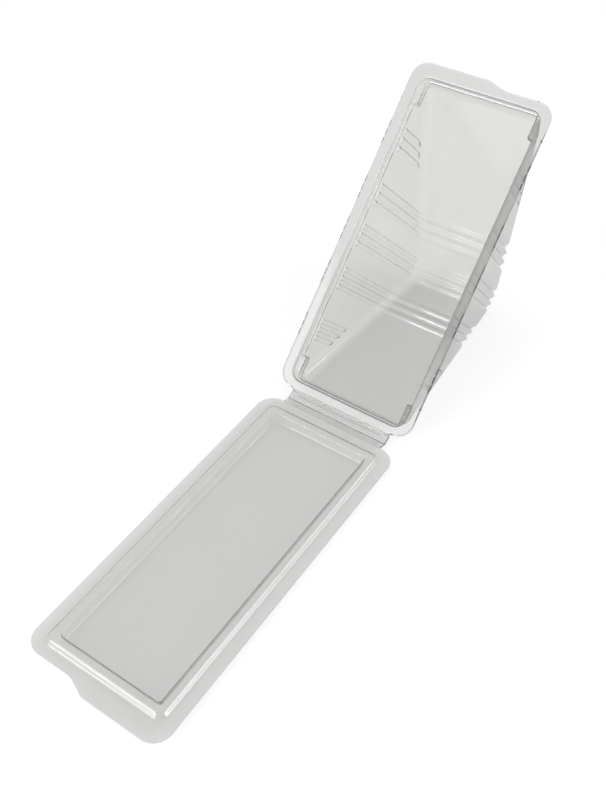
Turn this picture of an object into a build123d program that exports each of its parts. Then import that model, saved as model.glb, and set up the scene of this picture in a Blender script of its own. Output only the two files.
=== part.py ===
from build123d import *
import os
from math import asin, atan2, cos, degrees, hypot, radians, sin, tan

# Hinged sandwich-wedge clamshell, thermoformed from one clear PET sheet, standing open on a table:
# the wedge tray lies on its hinge-side wall and the lid lies flat beside it, inner face up.
# Millimetres and degrees, +Z up.  The row's origin is under the middle of the open pack.

os.makedirs("parts", exist_ok=True)

# ---- sheet and flange --------------------------------------------------------------------
sheet = 0.30              # thickness of the formed sheet
flange_width = 80.0       # across the hinge
flange_length = 180.6     # hinge edge to front edge
flange_corner = 9.0       # corner radius of both flanges
tray_tab = 2.9            # opening tab of the tray, beyond the front edge
lid_tab = 4.4             # opening tab of the lid, on the other half
tab_past_middle = 1.7     # each tab runs this far past the middle
tab_ramp = 10.0           # length of the curve from the tab back to the front edge
ramp_radius = 14.0
tab_point_radius = 0.8

# ---- opening of the tray -----------------------------------------------------------------
rim_side = 5.5            # flange left beside the opening
rim_hinge = 4.4           # flange left at the hinge
rim_front = 4.7           # flange left at the front
opening_corner = 5.5
rim_depth = 5.0           # depth of the straight rim that the lid plugs into
ledge = 0.8               # step below that rim

# ---- wedge -------------------------------------------------------------------------------
wall_slope = 43.9         # both sloping walls against the flange plane
end_depth = 11.36         # upright ends, where both are equally deep
apex_width = 12.7         # flat strip at the foot of the wedge
apex_offset = -1.3        # its middle from the opening's middle, towards the hinge
side_draft = 5.3
end_draft = 3.0
side_fillet = 5.5         # between the side walls and the others
cross_fillet = 1.5        # across the pack, at the foot of the ends and at the apex

# ---- stiffening grooves, recessed into the pack in sets of three -------------------------
near_wall_sets = (0.24, 0.63)    # how far up the hinge-side wall from the apex, as a share
far_wall_sets = (0.21, 0.60)     # and up the front wall; one more set lies on the apex strip
short_groove = 8.5        # the set nearest each end stops this far above the sloping wall
grooves_per_set = 3
groove_pitch = 4.8
groove_width = 2.6
groove_depth = 1.7
groove_start = 2.0        # they start this far below the ledge

# ---- lock pads in the four corners of the opening ----------------------------------------
pad_length = 13.5         # along the side
pad_reach = 3.4           # inwards from the rim
pad_clearance = 0.46      # pad below the height of the lid's bead
pad_height = 5.0
pad_slope = 2.4           # how far the pad's foot runs back to the wall

# ---- lid ---------------------------------------------------------------------------------
plug_clearance = 0.4      # between the lid's bead and the tray's rim
bead_height = 2.44
bead_slope = 2.2          # outer side of the bead, seen from above
bead_crest = 3.8
pocket_draft = 0.9        # inner side of the bead, seen from above
pocket_corner = 1.6       # tightest corner radius inside the bead
lid_dish = 2.95           # panel below the flange, so that the panel is what rests

# ---- hinge: two creases joined by a web --------------------------------------------------
hinge_inset = 1.0         # each end stops this far inside the flange's straight edge
crease_depth = 1.7        # both creases lie this far outside the flange planes
tray_band = 1.3           # tray flange to its crease
lid_band = 4.75           # lid flange to its crease
closed_gap = 0.3          # between the two flanges when the pack is shut
crease_bead = 0.05        # the crease line stands this proud of the sheet, on the web
crease_clearance = 0.25   # between that line and the sheet that folds about it
web_bar_inset = 4.0       # the web's stiffening bar stops this far inside its ends
web_bar_width = 1.8
web_bar_height = 0.5

reach = 10.0              # how far a cutter runs past what it cuts

# ---- worked out from the sizes above -----------------------------------------------------
slope = tan(radians(wall_slope))
end_run = tan(radians(end_draft))
opening_half = flange_width / 2 - rim_side
opening_length = flange_length - rim_hinge - rim_front
opening_middle = rim_hinge + opening_length / 2
near_top = rim_hinge + ledge
far_top = flange_length - rim_front - ledge
apex_start = opening_middle + apex_offset - apex_width / 2
apex_end = apex_start + apex_width
wedge_depth = end_depth + slope * (opening_length / 2 - ledge - apex_width / 2)
wedge_top = -rim_depth / 2                     # the wedge's space starts inside the rim
near_sets = [apex_start - share * (apex_start - near_top) for share in near_wall_sets]
far_sets = [apex_end + share * (far_top - apex_end) for share in far_wall_sets]
groove_sets = near_sets + far_sets + [(apex_start + apex_end) / 2]
short_sets = (min(near_sets), max(far_sets))
hinge_half = flange_width / 2 - flange_corner - hinge_inset
crease_radius = sheet / 2 + crease_bead
web_rise = 2 * crease_depth + closed_gap       # between the creases when the pack is shut
web_length = hypot(lid_band - tray_band, web_rise)
closed_web = degrees(atan2(web_rise, tray_band - lid_band))


# ---- outlines shared by both halves ------------------------------------------------------
def flange_plate(tab, side):
    """The flange with its tab on one half; side is -1 or 1, and +Y runs away from the hinge."""
    half = flange_width / 2
    ramp_foot = -side * (tab_past_middle + tab_ramp)
    ramp_head = -side * tab_past_middle
    corners = [
        ((-side * half, 0), flange_corner),
        ((-side * half, flange_length), flange_corner),
        ((ramp_foot, flange_length), ramp_radius),
        ((ramp_head, flange_length + tab), tab_point_radius),
        ((side * half, flange_length + tab), flange_corner),
        ((side * half, 0), flange_corner),
    ]
    points = [point for point, radius in corners]
    edge = FilletPolyline(*points, radius=[radius for point, radius in corners], close=True)
    return extrude(make_face(edge), amount=-sheet, dir=(0, 0, 1))


def opening(grow, z):
    """The opening's rounded rectangle, grown all round, at a height."""
    corner = max(opening_corner + grow, pocket_corner)
    shape = RectangleRounded(2 * (opening_half + grow), opening_length + 2 * grow, corner)
    return Pos(0, opening_middle, z) * shape


def cone(grow_low, z_low, grow_high, z_high):
    """A tapered block between two sizes of the opening."""
    return loft([opening(grow_low, z_low), opening(grow_high, z_high)], ruled=True)


# ---- wedge tray --------------------------------------------------------------------------
def wedge_profile():
    """The wedge seen from the side: points (y, z) of its inner face, below the rim's ledge."""
    # depth at which each drafted end meets its sloping wall
    near_depth = (wedge_depth - slope * (apex_start - near_top)) / (1 - slope * end_run)
    far_depth = (wedge_depth - slope * (far_top - apex_end)) / (1 - slope * end_run)
    return [
        (near_top, wedge_top),
        (near_top + end_run * near_depth, -near_depth),
        (apex_start, -wedge_depth),
        (apex_end, -wedge_depth),
        (far_top - end_run * far_depth, -far_depth),
        (far_top, wedge_top),
    ]


def wedge(grow):
    """The wedge's space with its faces moved outwards by grow, and its edges rounded."""
    side = make_face(Plane.YZ * Polyline(*wedge_profile(), close=True))
    top_half = opening_half - ledge
    foot_half = top_half - tan(radians(side_draft)) * (wedge_depth - rim_depth)
    front_points = [(-top_half, wedge_top), (-foot_half, -wedge_depth),
                    (foot_half, -wedge_depth), (top_half, wedge_top)]
    front = make_face(Plane.XZ * Polyline(*front_points, close=True))
    if grow:
        side = offset(side, amount=grow, kind=Kind.INTERSECTION)
        front = offset(front, amount=grow, kind=Kind.INTERSECTION)
    along = extrude(side, amount=flange_width, both=True, dir=(1, 0, 0))
    across = extrude(front, amount=2 * flange_length, both=True, dir=(0, 1, 0))
    body = along & across
    rim_edges = body.faces().sort_by(Axis.Z)[-1].edges()
    below = body.edges().filter_by(lambda e: e not in rim_edges)
    body = fillet(below.filter_by(lambda e: abs(e.center().X) > 1), side_fillet + grow)
    rim_height = body.bounding_box().max.Z - sheet
    cross = body.edges().filter_by(Axis.X).filter_by(lambda e: e.center().Z < rim_height)
    return fillet(cross, cross_fillet + max(grow, 0))


def groove_slabs(grow):
    """Upright slabs at every groove; a groove is narrower outside than inside the sheet."""
    start = rim_depth + groove_start
    slabs = []
    for middle in groove_sets:
        for number in range(grooves_per_set):
            y = middle + (number - (grooves_per_set - 1) / 2) * groove_pitch
            depth = wedge_depth - slope * max(apex_start - y, y - apex_end, 0)
            stop = depth - short_groove - grow if middle in short_sets else wedge_depth + reach
            slab = Box(2 * flange_width, groove_width - 2 * grow, stop - start)
            slabs.append(Pos(0, y, -(start + stop) / 2) * slab)
    return slabs


def lock_pads(shrink):
    """The four corner pads as blocks, shrunk by the sheet where their far side is wanted."""
    inner = opening_half - pad_reach + shrink
    outer = opening_half + reach
    top = -bead_height - pad_clearance - shrink
    foot = -bead_height - pad_clearance - pad_height + shrink
    front = [(inner, top), (outer, top), (outer, foot - reach - pad_slope),
             (inner + pad_slope, foot - pad_slope), (inner, foot)]
    length = pad_length + reach - shrink
    pad = extrude(make_face(Plane.XZ * Polyline(*front, close=True)), amount=length, dir=(0, 1, 0))
    pads = []
    for x_side in (0, 1):
        sided = mirror(pad, about=Plane.YZ) if x_side else pad
        pads.append(Pos(0, rim_hinge - reach, 0) * sided)
        pads.append(Pos(0, flange_length - rim_front + shrink - pad_length, 0) * sided)
    return pads


def tray_space(grow):
    """Rim, wedge, grooves and pads: the space inside the sheet, or with grow its outside."""
    slabs = groove_slabs(grow)
    space = wedge(grow)
    narrow = wedge(grow - groove_depth)
    for slab in slabs:
        space = space - slab + (narrow & slab)
    rim = extrude(opening(grow, reach), amount=-(reach + rim_depth + grow), dir=(0, 0, 1))
    space = space + rim
    for pad in lock_pads(grow):
        space = space - pad
    return space


def fold_stop(band_length, closed_angle):
    """How far from a crease's axis the flat sheet has to stop, to fold to the closed angle."""
    band_angle = degrees(atan2(crease_depth, band_length))
    opening_angle = radians(abs(closed_angle - band_angle))
    return max(crease_radius, sheet / 2 / tan(opening_angle / 2)) + crease_clearance


def band(start, end, end_gap, half):
    """Flat sheet along a line in the (y, z) plane, stopping end_gap short of its end."""
    length = hypot(end[0] - start[0], end[1] - start[1])
    along = ((end[0] - start[0]) / length, (end[1] - start[1]) / length)
    across = (-along[1] * sheet / 2, along[0] * sheet / 2)
    stop = (end[0] - along[0] * end_gap, end[1] - along[1] * end_gap)
    corners = [
        (start[0] + across[0], start[1] + across[1]),
        (stop[0] + across[0], stop[1] + across[1]),
        (stop[0] - across[0], stop[1] - across[1]),
        (start[0] - across[0], start[1] - across[1]),
    ]
    face = make_face(Plane.YZ * Polyline(*corners, close=True))
    return extrude(face, amount=half, both=True, dir=(1, 0, 0))


def wedge_tray():
    """Tray in its own frame: flange plane at z = 0, hinge edge at y = 0, wedge below."""
    cut = tray_space(0)
    outside = tray_space(sheet)
    outside = outside & Pos(0, flange_length / 2, -flange_length / 2) * Box(
        2 * flange_width, 2 * flange_length, flange_length)
    tray = flange_plate(tray_tab, -1) + outside - cut
    stop = fold_stop(tray_band, closed_web)
    strip = band((sheet, -sheet / 2), (-tray_band, -crease_depth), stop, hinge_half)
    return tray + strip


# ---- lid ---------------------------------------------------------------------------------
def lid_shell():
    """Lid in its own frame: flange plane at z = 0, inner face up, hinge edge at y = 0."""
    foot = -plug_clearance
    crest = foot - bead_slope
    pocket = crest - bead_crest
    bead_run = bead_slope / bead_height
    bead_shift = sheet * hypot(1, bead_run)
    pocket_high = bead_height + lid_dish
    pocket_run = pocket_draft / pocket_high
    pocket_shift = sheet * hypot(1, pocket_run)
    under_low = foot + bead_run * sheet - bead_shift
    under_high = foot - bead_run * (bead_height - sheet) - bead_shift

    bead = cone(foot, 0, crest, bead_height)
    hollow = cone(under_low, -sheet, under_high, bead_height - sheet)
    pan = cone(pocket - pocket_run * (pocket_high + sheet) + pocket_shift, -lid_dish - sheet,
               pocket + pocket_shift, bead_height)
    inside = cone(pocket - pocket_draft, -lid_dish, pocket + pocket_run * reach,
                  bead_height + reach)
    lid = flange_plate(lid_tab, 1) + bead - hollow + pan - inside
    stop = fold_stop(lid_band, 180 - closed_web)
    strip = band((sheet, -sheet / 2), (-lid_band, -crease_depth), stop, hinge_half)
    return lid + strip


# ---- where the pieces lie ----------------------------------------------------------------
tilt = wall_slope                          # the tray lies on its hinge-side wall
lid_height = lid_dish + sheet              # lid flange above the table
tray_height = wedge_depth * cos(radians(tilt)) - apex_start * sin(radians(tilt)) + sheet

lid_crease = (0.0, lid_height - crease_depth)
tray_crease_z = (tray_height - tray_band * sin(radians(tilt))
                 - crease_depth * cos(radians(tilt)))
web_angle = degrees(asin((tray_crease_z - lid_crease[1]) / web_length))
tray_crease = (web_length * cos(radians(web_angle)), tray_crease_z)
tray_y = tray_crease[0] + tray_band * cos(radians(tilt)) - crease_depth * sin(radians(tilt))


def hinge_strip():
    """The web between the two creases, with its rounded crease lines and embossed bar."""
    web = band(lid_crease, tray_crease, 0, hinge_half)
    for y, z in (lid_crease, tray_crease):
        web = web + Pos(0, y, z) * Rot(0, 90, 0) * Cylinder(crease_radius, 2 * hinge_half)
    middle = ((lid_crease[0] + tray_crease[0]) / 2, (lid_crease[1] + tray_crease[1]) / 2)
    bar = Box(2 * (hinge_half - web_bar_inset), web_bar_width, web_bar_height + sheet)
    lift = web_bar_height / 2
    return web + Pos(0, *middle) * Rot(web_angle, 0, 0) * Pos(0, 0, lift) * bar


pieces = {
    "wedge_tray": Pos(0, tray_y, tray_height) * Rot(tilt, 0, 0) * wedge_tray(),
    "hinge_strip": hinge_strip(),
    "lid": Pos(0, -lid_band, lid_height) * mirror(lid_shell(), about=Plane.XZ),
}
whole = Compound(list(pieces.values())).bounding_box()
centre = Pos(0, -(whole.min.Y + whole.max.Y) / 2, -whole.min.Z)

for name, piece in pieces.items():
    export_step(centre * piece, f"parts/{name}.step")

# ---- what the record needs ---------------------------------------------------------------
shift_y = centre.position.Y
rest_web = 180 - (tilt - web_angle)
tray_turn = rest_web - closed_web
lid_turn = 180 - tilt - tray_turn
print("size", whole.size)
print("lid crease", lid_crease[0] + shift_y, lid_crease[1])
print("tray crease", tray_crease[0] + shift_y, tray_crease[1])
print("web angle", web_angle, "web length", web_length, "wedge depth", wedge_depth)
print("groove sets", groove_sets, "sheet stops", fold_stop(tray_band, closed_web),
      fold_stop(lid_band, 180 - closed_web))
print("closing turns: tray crease", tray_turn, "lid crease", lid_turn, "ratio", tray_turn / lid_turn)
print("tray flange edge", tray_y + shift_y, tray_height, "lid flange edge", shift_y - lid_band)
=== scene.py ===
# %% [markdown]
# # A clear sandwich-wedge clamshell pack
# The pack is one sheet of clear PET, 0.3 mm thick, drawn over a mould while it is hot. It stands
# open: a deep wedge tray, a flat lid with a raised bead, and a narrow web between two creases.
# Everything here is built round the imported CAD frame, whose bodies tray, web and lid turn about
# the two creases. The frame comes first, because each new surface has to ride on one of them.

import math
import bpy
import numpy as np
from mathutils import Matrix, Vector


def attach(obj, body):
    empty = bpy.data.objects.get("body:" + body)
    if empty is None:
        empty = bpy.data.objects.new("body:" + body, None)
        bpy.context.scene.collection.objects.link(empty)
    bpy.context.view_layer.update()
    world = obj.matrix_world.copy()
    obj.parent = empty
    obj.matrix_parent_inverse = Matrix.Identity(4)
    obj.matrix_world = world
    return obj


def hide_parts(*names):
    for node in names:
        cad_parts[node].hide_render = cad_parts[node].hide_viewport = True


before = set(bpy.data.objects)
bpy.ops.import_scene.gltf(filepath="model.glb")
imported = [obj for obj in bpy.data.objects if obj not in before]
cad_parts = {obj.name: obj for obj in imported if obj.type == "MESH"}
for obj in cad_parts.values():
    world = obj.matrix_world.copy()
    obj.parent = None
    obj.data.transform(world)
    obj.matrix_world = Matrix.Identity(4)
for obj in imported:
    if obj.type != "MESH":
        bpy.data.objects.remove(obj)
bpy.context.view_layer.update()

# %% [markdown]
# ## Sizes
# A thermoformed pack is drawn from its mould, so its sizes are the mould's: flange, opening, wedge
# and grooves. They are written in millimetres and turned to metres only when a mesh is made.

# %% Sizes of the pack, in millimetres
MM = 0.001
SHEET = 0.30
FLANGE_HALF, FLANGE_LENGTH, FLANGE_CORNER = 40.0, 180.6, 9.0
TAB_PAST_MIDDLE, TAB_RAMP, TAB_EASE = 1.7, 10.0, 2.9
TRAY_TAB, LID_TAB = 2.9, 4.4
OPENING_HALF, OPENING_NEAR, OPENING_FAR, OPENING_CORNER = 34.5, 4.4, 175.9, 5.5
RIM_DEPTH, LEDGE, RIM_ROLL = 5.0, 0.8, 0.9
NEAR_TOP, FAR_TOP = OPENING_NEAR + LEDGE, OPENING_FAR - LEDGE
APEX_START, APEX_END, WEDGE_DEPTH = 82.5, 95.2, 86.998
WALL_SLOPE, SIDE_DRAFT, END_DRAFT = (math.radians(a) for a in (43.9, 5.3, 3.0))
SIDE_FILLET, CROSS_FILLET = 5.5, 1.5
LEDGE_EASE = 0.25               # half the height over which the wall steps in to the ledge
GROOVE_WIDTH, GROOVE_FLANK, GROOVE_DEPTH, GROOVE_PITCH = 2.6, 1.1, 1.45, 4.8
GROOVE_START, GROOVE_FULL = 6.9, 7.9    # depths between which a groove grows out of the wall
LONG_SETS, SHORT_SETS = (63.948, 88.85, 111.979), (33.801, 143.14)
SHORT_STOP, FADE_ABOVE, FADE_BELOW = 8.5, 1.2, 0.4    # where the short sets end, over the floor
PAD_INNER, PAD_LENGTH, PAD_TOP, PAD_FOOT = 31.1, 13.5, 2.9, 7.9
PAD_EDGE, PAD_JOIN = 0.7, 0.5   # rounds on a pad and where it meets the wall
BEAD_FOOT, BEAD_TOP_OUTER, BEAD_TOP_INNER, POCKET_FOOT = 0.4, 2.6, 6.4, 7.3
BEAD_HEIGHT, LID_DISH, POCKET_CORNER = 2.44, 2.95, 1.6
BEAD_ROUNDS, PROFILE_BEFORE, PROFILE_AFTER = [1.6, 2.2, 0.8, 1.0], 1.2, 1.5
HINGE_HALF, CREASE_DEPTH, TRAY_BAND, LID_BAND = 30.0, 1.7, 1.3, 4.75
TRAY_EDGE = (30.3405, 5.7812)   # y and z of the tray flange's hinge edge
LID_EDGE = (21.2323, 3.25)      # y and z of the lid flange's hinge edge
LID_CREASE, TRAY_CREASE = (25.9823, 1.5500), (30.5825, 3.6548)
COINED, CREASE_GAP, CREASE_SHARE = 0.62, 0.05, 0.08   # thinning: its reach, end and least share
BAND_LEAD, BAND_ROUND = 0.3, 0.45                     # where the band bends down, and how round
BAR_TOP, BAR_FOOT, BAR_TOP_END, BAR_FOOT_END, BAR_HEIGHT = 0.65, 1.25, 25.4, 26.4, 0.5
print("groove sets", LONG_SETS + SHORT_SETS)

# %% [markdown]
# ## Soft joins between faces
# Nothing on a formed sheet is sharp: the hot film rounds every edge of the mould, and those small
# rounds carry the bright lines that make clear plastic readable. So the mould is written as a
# field, a number for each point that is below zero in its space and above zero outside, and
# faces are joined by a maximum with a radius. That keeps fillets exact where three faces meet.


# %% Fields with rounded joins
HALVINGS = 36
# how far back and how far ahead points may slide to each surface, in millimetres
RIM_REACH, WALL_REACH, END_REACH, EDGE_REACH = (9.0, 2.0), (7.5, 3.0), (7.0, 6.0), (0.0, 30.0)


def step(value, start, end):
    """Smooth step: 0 before start, 1 after end, and 3t^2 - 2t^3 between them."""
    t = np.clip((value - start) / (end - start), 0, 1)
    return t * t * (3 - 2 * t)


def round_max(a, b, radius):
    """The space inside both a and b, its edge rounded: the distance past the two faces moved
    in by radius, less that radius."""
    past = np.hypot(np.maximum(a + radius, 0), np.maximum(b + radius, 0))
    return np.minimum(np.maximum(a, b), -radius) + past


def slide(points, directions, field, back, ahead):
    """Moves each point along its direction to where field is 0, by halving again and again
    between back, where the field is below 0, and ahead, where it is above."""
    low, high = np.full(len(points), -float(back)), np.full(len(points), float(ahead))
    for _ in range(HALVINGS):
        middle = (low + high) / 2
        inside = field(*(points + middle[:, None] * directions).T) < 0
        low, high = np.where(inside, middle, low), np.where(inside, high, middle)
    return points + ((low + high) / 2)[:, None] * directions


# %% [markdown]
# ## The outline of a flange
# Both halves end in the same rounded rectangle, and each has an opening tab on one half of its
# front edge: the edge climbs a short concave ramp to the tab. The outline is a field too, so
# that a column of mesh can run out to it from anywhere.


# %% Flange outline
def outline(tab, side):
    """Field of the flange outline; side is -1 or 1, the half that has the tab. The front edge
    moves out by a ramp that starts as a parabola and then runs straight up to the tab."""

    def field(x, u, *_):
        run = side * x + TAB_PAST_MIDDLE + TAB_RAMP
        eased = np.where(run > TAB_EASE, run, np.clip(run + TAB_EASE, 0, None) ** 2 / 4 / TAB_EASE)
        front = FLANGE_LENGTH + tab * np.minimum(eased / TAB_RAMP, 1)
        ends = np.maximum(-u, u - front)
        return round_max(np.abs(x) - FLANGE_HALF, ends, FLANGE_CORNER)

    return field


# %% [markdown]
# ## The space inside the tray
# Two walls slope at 43.9 degrees to an apex strip, the sides lean in by their draft, and a ledge
# lies under the upright rim that the lid plugs into. Three grooves at a time are pressed into
# the pack to stiffen it: three sets run right round, and the set nearest each end stops on the
# side walls. Four pads in the corners hold the lid's bead.


# %% Cavity of the tray
def groove_field(u, d):
    """How far the sheet is pressed in: the groove depth at the middle of each groove, falling
    to nothing by long eased flanks, from just under the ledge down. A short groove fades out
    above the sloping wall or apex below it."""
    pressed = np.zeros_like(u)
    for middle in LONG_SETS + SHORT_SETS:
        for number in (-1, 0, 1):
            away = np.abs(u - middle - number * GROOVE_PITCH)
            band = 1 - step(away, GROOVE_WIDTH / 2 - GROOVE_FLANK, GROOVE_WIDTH / 2 + GROOVE_FLANK)
            if middle in SHORT_SETS:
                past_apex = np.maximum(APEX_START - u, u - APEX_END)
                stop = WEDGE_DEPTH - math.tan(WALL_SLOPE) * past_apex - SHORT_STOP
                band = band * (1 - step(d, stop - FADE_ABOVE, stop + FADE_BELOW))
            pressed = np.maximum(pressed, band)
    return GROOVE_DEPTH * pressed * step(d, GROOVE_START, GROOVE_FULL)


def pad_field(x, u, d):
    """Below 0 inside the four lock pads: inwards of the rim, near an end, below the pad's top
    and above its foot, which runs back to the wall at 45 degrees."""
    inner = PAD_INNER - np.abs(x)
    along = np.minimum(u - OPENING_NEAR - PAD_LENGTH, OPENING_FAR - PAD_LENGTH - u)
    foot = (d - PAD_FOOT + inner) * math.sqrt(0.5)
    sides, ends = round_max(inner, along, PAD_EDGE), round_max(PAD_TOP - d, foot, PAD_EDGE)
    return round_max(sides, ends, PAD_EDGE)


def cavity(x, u, d):
    """Below 0 inside the tray: side walls and the wedge's side profile joined with the side
    fillet, moved in by the grooves and out by the ledge above it, less the pads."""
    below = np.maximum(d, RIM_DEPTH) - RIM_DEPTH
    top_half = OPENING_HALF - LEDGE
    sides = (np.abs(x) - top_half + math.tan(SIDE_DRAFT) * below) * math.cos(SIDE_DRAFT)
    near = NEAR_TOP + math.tan(END_DRAFT) * below - u
    far = u - FAR_TOP + math.tan(END_DRAFT) * below
    rise, across = math.tan(WALL_SLOPE), math.cos(WALL_SLOPE)
    near_wall = (d - WEDGE_DEPTH + rise * (APEX_START - u)) * across
    far_wall = (d - WEDGE_DEPTH + rise * (u - APEX_END)) * across
    foot = round_max(round_max(near_wall, d - WEDGE_DEPTH, CROSS_FILLET), far_wall, CROSS_FILLET)
    profile = round_max(round_max(near, foot, CROSS_FILLET), far, CROSS_FILLET)
    space = round_max(sides, profile, SIDE_FILLET) + groove_field(u, d)
    space = space - LEDGE * (1 - step(d, RIM_DEPTH - LEDGE_EASE, RIM_DEPTH + LEDGE_EASE))
    return round_max(space, -pad_field(x, u, d), PAD_JOIN)


# %% [markdown]
# ## Columns and rows
# A mesh that follows a mould's own lines shades cleanly. Round the rim it is a loop of columns:
# straight down each side, round each corner. Below, the grooves lie in planes across the pack,
# so the mesh turns into a grid whose rows are those planes. The grid's four corners sit halfway
# round the opening's corners, which lets the loop and the grid share their edge.


# %% The loop of columns
def loop(half, near, far, corner, across, along, end_arc, side_arc):
    """Points and outward directions round a rounded rectangle, anticlockwise from halfway round
    the near left corner. across and along are shares of the straight parts, from -1 to 1."""
    quarter = math.pi / 4
    end_turn = quarter + quarter * np.arange(end_arc) / end_arc
    side_turn = quarter - quarter * np.arange(1, side_arc) / side_arc
    cx, low, high = half - corner, near + corner, far - corner
    middle, reach = (near + far) / 2, (high - low) / 2

    def arc(turns, x_sign, u_sign):
        way = np.stack([x_sign * np.cos(turns), u_sign * np.sin(turns)], 1)
        centre = np.array([x_sign * cx, high if u_sign > 0 else low])
        return centre + corner * way, way

    def straight(x, u, way):
        points = np.stack(np.broadcast_arrays(x, u), 1).astype(float)
        return points, np.tile(np.array(way, float), (len(points), 1))

    parts = [
        arc(end_turn, -1, -1), straight(cx * across, near, (0, -1)), arc(end_turn[::-1], 1, -1),
        arc(side_turn, 1, -1), straight(half, middle + reach * along, (1, 0)),
        arc(side_turn[::-1], 1, 1), arc(end_turn, 1, 1),
        straight(cx * across[::-1], far, (0, 1)), arc(end_turn[::-1], -1, 1),
        arc(side_turn, -1, 1), straight(-half, middle + reach * along[::-1], (-1, 0)),
        arc(side_turn[::-1], -1, -1),
    ]
    return np.concatenate([p for p, _ in parts]), np.concatenate([w for _, w in parts])


def grid_edges(columns, rows):
    """Where the loop's columns fall in a grid of rows by columns: near end, right side, far end,
    left side, as row and column numbers."""
    j, i = np.arange(columns), np.arange(1, rows - 1)
    row = np.concatenate([0 * j, i, 0 * j + rows - 1, i[::-1]])
    column = np.concatenate([j, 0 * i + columns - 1, j[::-1], 0 * i])
    return row, column


# %% [markdown]
# ## From points to a mesh
# One function joins a stack of loops to a grid and makes quads of both. The sheet's thickness
# comes after that from a Solidify modifier, which moves every point along its own normal, as
# a formed sheet has it. Weighted normals come last, so that the broad faces shade flat right up
# to the narrow cut edge.


# %% Stack of loops over a grid
def shell_faces(levels, count, rows, columns):
    """Quads of a stack of levels, each a closed loop of count points, from the outside in, and
    of the grid that fills it: its edge is the last level, and its other points come after."""
    here = np.arange(count)
    ahead = np.roll(here, -1)
    base = (np.arange(levels - 1) * count)[:, None]
    rings = np.stack([base + here, base + ahead, base + count + ahead, base + count + here], 2)
    grid = np.zeros((rows, columns), int)
    grid[grid_edges(columns, rows)] = (levels - 1) * count + here
    inside = np.arange((rows - 2) * (columns - 2)).reshape(rows - 2, columns - 2)
    grid[1:-1, 1:-1] = levels * count + inside
    cells = np.stack([grid[:-1, :-1], grid[:-1, 1:], grid[1:, 1:], grid[1:, :-1]], 2)
    return np.concatenate([rings.reshape(-1, 4), cells.reshape(-1, 4)])


def sheet_piece(name, points, faces, share, material, body, node):
    """A sheet of the pack as one object: points in millimetres in the row frame, its thickness
    laid behind them by each point's share of it, riding on a body in place of its CAD node."""
    mesh = bpy.data.meshes.new(name)
    mesh.from_pydata((points * MM).tolist(), [], faces.tolist())
    mesh.shade_smooth()
    mesh.materials.append(material)
    piece = bpy.data.objects.new(name, mesh)
    bpy.context.scene.collection.objects.link(piece)
    wall = piece.modifiers.new("sheet thickness", "SOLIDIFY")
    wall.thickness, wall.offset, wall.use_quality_normals = SHEET * MM, -1, True
    thinning = piece.vertex_groups.new(name="coined_crease")
    for value in np.unique(share):
        thinning.add(np.flatnonzero(share == value).tolist(), float(value), "REPLACE")
    wall.vertex_group = thinning.name
    piece.modifiers.new("flat faces lead", "WEIGHTED_NORMAL")
    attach(piece, body)
    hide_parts(node)
    print(name, len(points), "points", len(faces), "quads")


def round_path(corners, radii, steps):
    """A line through corners with each inner corner rounded: a quadratic curve that starts and
    ends where a circle of that radius would touch."""
    corners = np.array(corners, float)
    path = [corners[:1]]
    for before, at, after, radius in zip(corners, corners[1:], corners[2:], radii):
        a, b = before - at, after - at
        a, b = a / np.hypot(*a), b / np.hypot(*b)
        half = math.acos(np.clip(a @ b, -1, 1)) / 2
        cut = radius / math.tan(half)
        t = np.linspace(0, 1, steps)[:, None]
        path.append((1 - t) ** 2 * (at + a * cut) + 2 * t * (1 - t) * at + t**2 * (at + b * cut))
    return np.concatenate(path + [corners[-1:]])


# %% [markdown]
# ## Clear PET
# Amorphous PET is a glass-clear plastic with a refractive index of 1.57. Formed sheet is almost
# as smooth as float glass, but it carries a faint haze and very shallow waves from being
# stretched over the mould, and recycled stock gives it a light grey cast. Glass-like
# transmission gives all of that, where a plain see-through shader would lose the dark and
# bright lines that the bends make.


# %% Node helpers and the material
def linear(code):
    """Linear colour of an sRGB hex value: the curve is (c + 0.055) / 1.055 to the power 2.4."""
    c = np.array([int(code[i : i + 2], 16) for i in (1, 3, 5)]) / 255
    return (*np.where(c <= 0.04045, c / 12.92, ((c + 0.055) / 1.055) ** 2.4), 1.0)


def node(tree, kind, settings=(), **links):
    """Adds a node: settings are (name, value) for its own properties and for its inputs, and
    links give an input's name, spaces as underscores, and the socket that feeds it."""
    made = tree.nodes.new(kind)
    for name, value in settings:
        if name in made.inputs:
            made.inputs[name].default_value = value
        else:
            setattr(made, name, value)
    for name, socket in links.items():
        tree.links.new(socket, made.inputs[name.replace("_", " ")])
    return made


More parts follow.
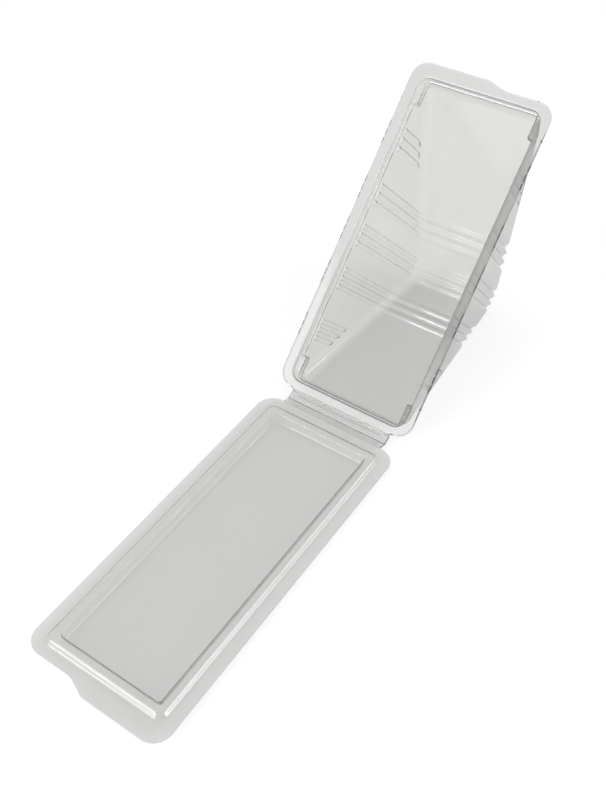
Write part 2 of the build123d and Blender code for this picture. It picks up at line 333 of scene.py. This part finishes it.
def clear_pet():
    """Clear PET sheet: haze as a roughness that drifts from 0.09 to 0.15 over 40 mm patches, and
    two very shallow waves in the surface, 25 mm long from stretching and 3 mm long from the
    mould's blasted face."""
    material = bpy.data.materials.new("clear_PET_thermoformed")
    material.use_nodes = True
    tree = material.node_tree
    tree.nodes.clear()
    place = node(tree, "ShaderNodeTexCoord").outputs["Object"]
    patches = node(tree, "ShaderNodeTexNoise", [("Scale", 25.0), ("Detail", 2.0)], Vector=place)
    haze = node(tree, "ShaderNodeMapRange", [("From Min", 0.3), ("From Max", 0.7),
                ("To Min", 0.09), ("To Max", 0.15)], Value=patches.outputs["Fac"])
    long_wave = node(tree, "ShaderNodeTexNoise", [("Scale", 40.0), ("Detail", 1.0)], Vector=place)
    fine_wave = node(tree, "ShaderNodeTexNoise", [("Scale", 330.0), ("Detail", 2.0)], Vector=place)
    slow = node(tree, "ShaderNodeBump", [("Strength", 0.1), ("Distance", 0.0002)],
                Height=long_wave.outputs["Fac"])
    bump = node(tree, "ShaderNodeBump", [("Strength", 0.05), ("Distance", 0.00003)],
                Height=fine_wave.outputs["Fac"], Normal=slow.outputs["Normal"])
    surface = node(tree, "ShaderNodeBsdfPrincipled",
                   [("Base Color", linear("#dcdddb")), ("Transmission Weight", 1.0), ("IOR", 1.57)],
                   Roughness=haze.outputs["Result"], Normal=bump.outputs["Normal"])
    node(tree, "ShaderNodeOutputMaterial", Surface=surface.outputs["BSDF"])
    return material


PET = clear_pet()

# %% [markdown]
# ## The wedge tray
# The tray is the deep half. Its surface is the face that touched the mould: the flange, a small
# roll into the upright rim, the ledge, the pads, then the wedge. Each point starts on a simple
# guide, an upright wall or a straight floor, and slides to where the cavity field is zero, so
# pads, fillets and grooves need no shapes of their own.

# %% Stations of the tray's grid
GROOVES = np.array([m + n * GROOVE_PITCH for m in LONG_SETS + SHORT_SETS for n in (-1, 0, 1)])
FLANKS = np.array([-2.4, -1.95, -1.55, -1.15, -0.8, -0.4, 0, 0.4, 0.8, 1.15, 1.55, 1.95, 2.4])
STRAIGHT_LOW, STRAIGHT_HIGH = OPENING_NEAR + OPENING_CORNER, OPENING_FAR - OPENING_CORNER
PLAIN_PITCH, PAD_ROWS = 2.7, np.array([-0.8, -0.4, 0, 0.4, 0.8])
plain = np.arange(STRAIGHT_LOW, STRAIGHT_HIGH, PLAIN_PITCH)
plain = plain[np.abs(plain[:, None] - GROOVES).min(1) > FLANKS[-1]]
pad_ends = np.concatenate([OPENING_NEAR + PAD_LENGTH + PAD_ROWS,
                           OPENING_FAR - PAD_LENGTH + PAD_ROWS])
stations = np.unique(np.round(np.concatenate([
    (GROOVES[:, None] + FLANKS).ravel(), plain, pad_ends,
    [STRAIGHT_LOW, STRAIGHT_HIGH, APEX_START, APEX_END]]), 3))
TRAY_ALONG = (2 * stations - STRAIGHT_LOW - STRAIGHT_HIGH) / (STRAIGHT_HIGH - STRAIGHT_LOW)
TRAY_ACROSS = np.linspace(-1, 1, 41)
TRAY_END_ARC, TRAY_SIDE_ARC, WALL_ROWS, LEAST_WALL = 16, 12, 9, 0.1
RING_DEPTHS = np.array([0.9, 1.8, 2.4, 2.7, 2.9, 3.1, 3.4, 3.9, 4.5, 4.75, 4.88, 5.0, 5.12, 5.25,
                        5.6, 6.3, 6.9, 7.15, 7.4, 7.7, 8.0, 8.4])
print(len(stations), "rows across the straight part of the tray")


# %% Guides inside the wedge
def slice_guides(u):
    """For rows at u, guide points and sliding directions from the left wall's top to the right
    one's: down the wall, round a quarter ellipse and along the floor."""
    level = RING_DEPTHS[-1]
    lean = np.maximum(np.maximum(APEX_START - u, u - APEX_END), 0)
    floor = WEDGE_DEPTH - math.tan(WALL_SLOPE) * lean
    drop = np.where(lean > 0, SIDE_FILLET / math.cos(WALL_SLOPE), SIDE_FILLET)
    half = OPENING_HALF - LEDGE - math.tan(SIDE_DRAFT) * (floor - RIM_DEPTH)
    wall_end = np.maximum(floor - drop, level + LEAST_WALL)
    wall = np.linspace(0, 1, WALL_ROWS, endpoint=False)
    turn = np.linspace(0, math.pi / 2, TRAY_END_ARC - WALL_ROWS, endpoint=False)
    deep = level + (wall_end - level)[:, None] * wall
    wall_x = OPENING_HALF - LEDGE - math.tan(SIDE_DRAFT) * (deep - RIM_DEPTH)
    arc_x = (half - SIDE_FILLET)[:, None] + SIDE_FILLET * np.cos(turn)
    arc_d = wall_end[:, None] + (floor - wall_end)[:, None] * np.sin(turn)
    floor_x = (half - SIDE_FILLET)[:, None] * TRAY_ACROSS
    x = np.concatenate([-wall_x, -arc_x, floor_x, arc_x[:, ::-1], wall_x[:, ::-1]], 1)
    flat = np.repeat(floor[:, None], len(TRAY_ACROSS), 1)
    d = np.concatenate([deep, arc_d, flat, arc_d[:, ::-1], deep[:, ::-1]], 1)
    side = np.concatenate([0 * wall, turn])
    angle = np.concatenate([side, np.full(len(TRAY_ACROSS), math.pi / 2), side[::-1]])
    way = np.stack([np.sign(x) * np.cos(angle), 0 * x, 0 * x + np.sin(angle)], 2)
    return np.stack([x, np.repeat(u[:, None], x.shape[1], 1), d], 2), way


# %% Levels of the tray, from the flange's edge down to the grid
def tray_levels():
    """The tray's loops from the flange's edge down to the grid, and their outward directions.
    Rim and pads are found in the cavity field, a quarter roll rises from the first of them, and
    the flange runs from the roll out to the outline."""
    ring, way = loop(OPENING_HALF, OPENING_NEAR, OPENING_FAR, OPENING_CORNER, TRAY_ACROSS,
                     TRAY_ALONG, TRAY_END_ARC, TRAY_SIDE_ARC)
    out = np.column_stack([way, np.zeros(len(ring))])
    rim = [slide(np.column_stack([ring, np.full(len(ring), d)]), out, cavity, *RIM_REACH)
           for d in RING_DEPTHS]
    roll = [rim[0] + out * RIM_ROLL * (1 - math.cos(t)) - [0, 0, RIM_ROLL * math.sin(t)]
            for t in np.linspace(math.pi / 2, 0, 6)[:-1]]
    edge = slide(roll[0], out, outline(TRAY_TAB, -1), *EDGE_REACH)
    flange = [edge + (roll[0] - edge) * share for share in (0, 0.25, 0.6)]
    return flange + roll + rim, out


def fill_ends(guide, push):
    """Fills the grid's rows beyond each end of the straight part. A row is a mix of the end's
    edge row and the last straight one, drawn to its own two edge points, and then slides onto
    the cavity along the mix of their directions."""
    rows, columns = guide.shape[:2]
    first, last = TRAY_SIDE_ARC, rows - TRAY_SIDE_ARC - 1
    share = np.arange(columns)[None, :, None] / (columns - 1)
    for end, line, between in ((0, first, np.arange(1, first)),
                               (rows - 1, last, np.arange(last + 1, rows - 1))):
        s = (np.abs(between - end) / TRAY_SIDE_ARC)[:, None, None]
        mix = (1 - s) * guide[end] + s * guide[line]
        left = guide[between, 0][:, None] - mix[:, :1]
        right = guide[between, -1][:, None] - mix[:, -1:]
        guide[between] = mix + left * (1 - share) ** 6 + right * share**6
        turn = (1 - s) * push[end] + s * push[line]
        push[between] = turn / np.linalg.norm(turn, axis=2, keepdims=True)
        cells = np.ix_(between, np.arange(1, columns - 1))
        moved = slide(guide[cells].reshape(-1, 3), push[cells].reshape(-1, 3), cavity, *END_REACH)
        guide[cells] = moved.reshape(len(between), columns - 2, 3)


def tray_surface():
    """All points of the tray in its own axes (across, away from the hinge, depth), the faces,
    and the numbers of the outline points that carry the hinge band."""
    levels, out = tray_levels()
    columns, rows = 2 * TRAY_END_ARC + len(TRAY_ACROSS), 2 * TRAY_SIDE_ARC + len(stations)
    row, column = grid_edges(columns, rows)
    guide, push = np.zeros((rows, columns, 3)), np.zeros((rows, columns, 3))
    straight = slice(TRAY_SIDE_ARC, -TRAY_SIDE_ARC)
    start, way = slice_guides(stations)
    inner = slide(start.reshape(-1, 3), way.reshape(-1, 3), cavity, *WALL_REACH)
    guide[straight], push[straight] = inner.reshape(-1, columns, 3), way
    guide[row, column] = levels[-1]
    push[0], push[-1] = out[row == 0], out[row == rows - 1][::-1]
    fill_ends(guide, push)
    points = np.concatenate(levels + [guide[1:-1, 1:-1].reshape(-1, 3)])
    hinge = np.arange(TRAY_END_ARC - 2, TRAY_END_ARC + len(TRAY_ACROSS) + 2)
    return points, shell_faces(len(levels), len(out), rows, columns), hinge


# %% [markdown]
# ## The hinge bands
# Beside each crease the sheet runs on from the flange and folds down to it. The band grows out of
# the flange's own edge points, so there is no seam where it leaves the flange. A living hinge is
# coined: a blunt rule squeezes the sheet thin along the crease, and the thin line lets it fold.


# %% Band from a flange's edge to its crease
def add_band(points, faces, hinge, run, drop):
    """Adds rows of points beyond the hinge edge: a small bend, a straight run, and a last step
    in which the sheet thins to the crease, run millimetres out and drop down. Points are
    (across, away from the hinge, depth); also gives each point's share of the thickness."""
    axis = np.array([-run, drop])
    top = axis - [0, SHEET / 2]
    path = round_path([(0.0, 0.0), (-BAND_LEAD, 0.0), top], [BAND_ROUND], 5)[1:-1]
    back = (path[-1] - top) / np.hypot(*(path[-1] - top))
    tip = axis + back * CREASE_GAP - [0, SHEET / 2 * CREASE_SHARE]
    path = np.concatenate([path, [top + back * COINED, tip]])
    rows = [points[hinge] + [0, u, d] for u, d in path]
    first = np.array([hinge] + [len(points) + k * len(hinge) + np.arange(len(hinge))
                                for k in range(len(path))])
    cells = np.stack([first[:-1, 1:], first[:-1, :-1], first[1:, :-1], first[1:, 1:]], 2)
    points = np.concatenate([points] + rows)
    share = np.ones(len(points))
    share[-len(hinge):] = CREASE_SHARE
    return points, np.concatenate([faces, cells.reshape(-1, 4)]), share


def place_tray(p):
    """Tray axes to the row frame: turned by the wall's slope about the hinge edge."""
    c, s = math.cos(WALL_SLOPE), math.sin(WALL_SLOPE)
    return np.stack([p[:, 0], TRAY_EDGE[0] + p[:, 1] * c + p[:, 2] * s,
                     TRAY_EDGE[1] + p[:, 1] * s - p[:, 2] * c], 1)


points, faces, share = add_band(*tray_surface(), TRAY_BAND, CREASE_DEPTH)
sheet_piece("wedge_tray_sheet", place_tray(points), faces, share, PET, "tray", "wedge_tray")

# %% [markdown]
# ## The lid
# The lid is a shallow dish with a raised bead all round, which plugs into the tray's rim. Its
# section is the same everywhere, so it is one profile carried round the loop: flange, foot of
# the bead, outer slope, crest, inner wall, panel. Every corner of the profile is rounded, and
# those rounds give the two bright lines along the bead.

# %% Profile of the lid, from the flange inwards
LID_PROFILE = round_path(
    [(-PROFILE_BEFORE, 0.0), (BEAD_FOOT, 0.0), (BEAD_TOP_OUTER, BEAD_HEIGHT),
     (BEAD_TOP_INNER, BEAD_HEIGHT), (POCKET_FOOT, -LID_DISH),
     (POCKET_FOOT + PROFILE_AFTER, -LID_DISH)], BEAD_ROUNDS, 9)
LID_ACROSS, LID_ALONG = np.linspace(-1, 1, 61), np.linspace(-1, 1, 91)
LID_END_ARC, LID_SIDE_ARC = 16, 12


# %% Lid surface
def lid_surface():
    """All points of the lid in its own axes (across, away from the hinge, depth), its faces, and
    the outline points that carry the band. The panel is a grid filled in between its edges."""
    levels = []
    for inset, height in LID_PROFILE:
        corner = max(OPENING_CORNER - inset, POCKET_CORNER)
        ring, way = loop(OPENING_HALF - inset, OPENING_NEAR + inset, OPENING_FAR - inset, corner,
                         LID_ACROSS, LID_ALONG, LID_END_ARC, LID_SIDE_ARC)
        levels.append(np.column_stack([ring, np.full(len(ring), -height)]))
    out = np.column_stack([way, np.zeros(len(way))])
    edge = slide(levels[0], out, outline(LID_TAB, 1), *EDGE_REACH)
    levels = [edge, edge + (levels[0] - edge) * 0.5] + levels
    columns, rows = 2 * LID_END_ARC + len(LID_ACROSS), 2 * LID_SIDE_ARC + len(LID_ALONG)
    row, column = grid_edges(columns, rows)
    grid = np.zeros((rows, columns, 3))
    grid[row, column] = levels[-1]
    s, t = np.linspace(0, 1, rows)[:, None, None], np.linspace(0, 1, columns)[None, :, None]
    blend = (1 - s) * grid[:1] + s * grid[-1:] + (1 - t) * grid[:, :1] + t * grid[:, -1:]
    corners = ((1 - s) * ((1 - t) * grid[0, 0] + t * grid[0, -1])
               + s * ((1 - t) * grid[-1, 0] + t * grid[-1, -1]))
    panel = (blend - corners)[1:-1, 1:-1]
    points = np.concatenate(levels + [panel.reshape(-1, 3)])
    hinge = np.arange(LID_END_ARC - 2, LID_END_ARC + len(LID_ACROSS) + 2)
    return points, shell_faces(len(levels), len(edge), rows, columns), hinge


def place_lid(p):
    """Lid axes to the row frame: it lies flat and runs away from the tray."""
    return np.stack([p[:, 0], LID_EDGE[0] - p[:, 1], LID_EDGE[1] - p[:, 2]], 1)


points, faces, share = add_band(*lid_surface(), LID_BAND, CREASE_DEPTH)
sheet_piece("lid_sheet", place_lid(points), faces[:, ::-1], share, PET, "lid", "lid")

# %% [markdown]
# ## The web
# Between the creases lies a strip 5 mm wide. It is a height over a flat grid: a low bar along its
# middle keeps it straight, and the sheet thins out to both creases.


# %% Web surface
def web_surface():
    """Heights over (along the creases, from the lid's crease to the tray's): half the sheet times
    its share, plus the bar's smooth plateau. The share falls in a straight line to the crease."""
    start, end = np.array(LID_CREASE), np.array(TRAY_CREASE)
    length = float(np.hypot(*(end - start)))
    across = np.linspace(COINED, length - COINED, 37)
    stops = np.concatenate([[CREASE_GAP], across, [length - CREASE_GAP]])
    x, s = np.meshgrid(np.linspace(-HINGE_HALF, HINGE_HALF, 81), stops, indexing="ij")
    share = np.where(np.minimum(s, length - s) < COINED - 0.01, CREASE_SHARE, 1.0)
    bar = step(np.abs(s - length / 2), BAR_FOOT, BAR_TOP)
    bar = bar * step(np.abs(x), BAR_FOOT_END, BAR_TOP_END)
    height = SHEET / 2 * share + BAR_HEIGHT * bar
    along = (end - start) / length
    y = start[0] + s * along[0] - height * along[1]
    z = start[1] + s * along[1] + height * along[0]
    numbers = np.arange(x.size).reshape(x.shape)
    cells = np.stack([numbers[:-1, :-1], numbers[1:, :-1], numbers[1:, 1:], numbers[:-1, 1:]], 2)
    return np.stack([x, y, z], 2).reshape(-1, 3), cells.reshape(-1, 4), share.ravel()


sheet_piece("hinge_web_sheet", *web_surface(), PET, "web", "hinge_strip")

# %% [markdown]
# ## Floor, light and camera
# Clear plastic shows only what it mirrors and bends, so most of the light comes from broad, even
# things: a pale table that glows a little, and a white sky, brighter on one side than the other.
# Two strip lamps and a small softbox draw the bright lines along the bends.


# %% Studio
def stage_plane(name, z, half, colour, glow):
    """A flat square that isn't part of the pack, lit from inside by glow."""
    mesh = bpy.data.meshes.new(name)
    mesh.from_pydata([(-half, -half, z), (half, -half, z), (half, half, z), (-half, half, z)],
                     [], [(0, 1, 2, 3)])
    material = bpy.data.materials.new(name)
    material.use_nodes = True
    tree = material.node_tree
    tree.nodes.clear()
    shader = node(tree, "ShaderNodeBsdfPrincipled",
                  [("Base Color", linear(colour)), ("Roughness", 0.7), ("Specular IOR Level", 0.2),
                   ("Emission Color", (1, 1, 1, 1)), ("Emission Strength", glow)])
    node(tree, "ShaderNodeOutputMaterial", Surface=shader.outputs["BSDF"])
    mesh.materials.append(material)
    plane = bpy.data.objects.new(name, mesh)
    bpy.context.scene.collection.objects.link(plane)


def soft_lamp(name, place, target, size, power):
    """An area lamp at place, turned to face target; width and height in metres, power in watts."""
    lamp = bpy.data.lights.new(name, "AREA")
    lamp.shape, lamp.energy = "RECTANGLE", power
    lamp.size, lamp.size_y = size
    holder = bpy.data.objects.new(name, lamp)
    bpy.context.scene.collection.objects.link(holder)
    holder.location = place
    holder.rotation_mode = "QUATERNION"
    holder.rotation_quaternion = (Vector(target) - Vector(place)).to_track_quat("-Z", "Y")


def studio_sky(bright_side, least, most):
    """A white sky: its strength rises from least to most as the direction looked in turns to
    bright_side, in a straight line of the cosine between the two."""
    world = bpy.data.worlds.new("white_studio")
    bpy.context.scene.world = world
    world.use_nodes = True
    tree = world.node_tree
    tree.nodes.clear()
    toward = node(tree, "ShaderNodeTexCoord").outputs["Generated"]
    facing = node(tree, "ShaderNodeVectorMath", [("operation", "DOT_PRODUCT")], Vector=toward)
    facing.inputs[1].default_value = bright_side
    level = node(tree, "ShaderNodeMapRange", [("From Min", -1.0), ("From Max", 1.0),
                 ("To Min", least), ("To Max", most)], Value=facing.outputs["Value"])
    sky = node(tree, "ShaderNodeBackground", [("Color", (1, 1, 1, 1))],
               Strength=level.outputs["Result"])
    node(tree, "ShaderNodeOutputWorld", Surface=sky.outputs["Background"])


stage_plane("table", -0.0001, 4.0, "#bababa", 0.67)
studio_sky((-0.6, 0.2, 0.77), 0.1, 0.7)
soft_lamp("right_strip", (0.82, 0.15, 0.35), (0.0, 0.0, 0.0), (0.95, 0.2), 3.4)
soft_lamp("front_strip", (-0.36, -0.88, 0.28), (0.0, 0.0, 0.0), (0.5, 0.2), 2.8)
soft_lamp("front_softbox", (-0.36, -0.67, 0.62), (0.0, 0.0, 0.0), (0.45, 0.3), 1.0)
bpy.context.scene.view_settings.view_transform = "Standard"

# %% Camera
camera = bpy.data.objects.new("camera", bpy.data.cameras.new("camera"))
bpy.context.scene.collection.objects.link(camera)
ahead = Vector((-0.39847, 0.56889, -0.71944)).normalized()
right = Vector((0.82478, 0.56537, -0.00975)).normalized()
turned = Matrix((right, right.cross(ahead), -ahead)).transposed().to_4x4()
turned.translation = Vector((0.18706, -0.27026, 0.38008))
camera.matrix_world = turned
camera.data.lens, camera.data.sensor_width = 44.4, 36.0
camera.data.clip_start = 0.01
bpy.context.scene.camera = camera
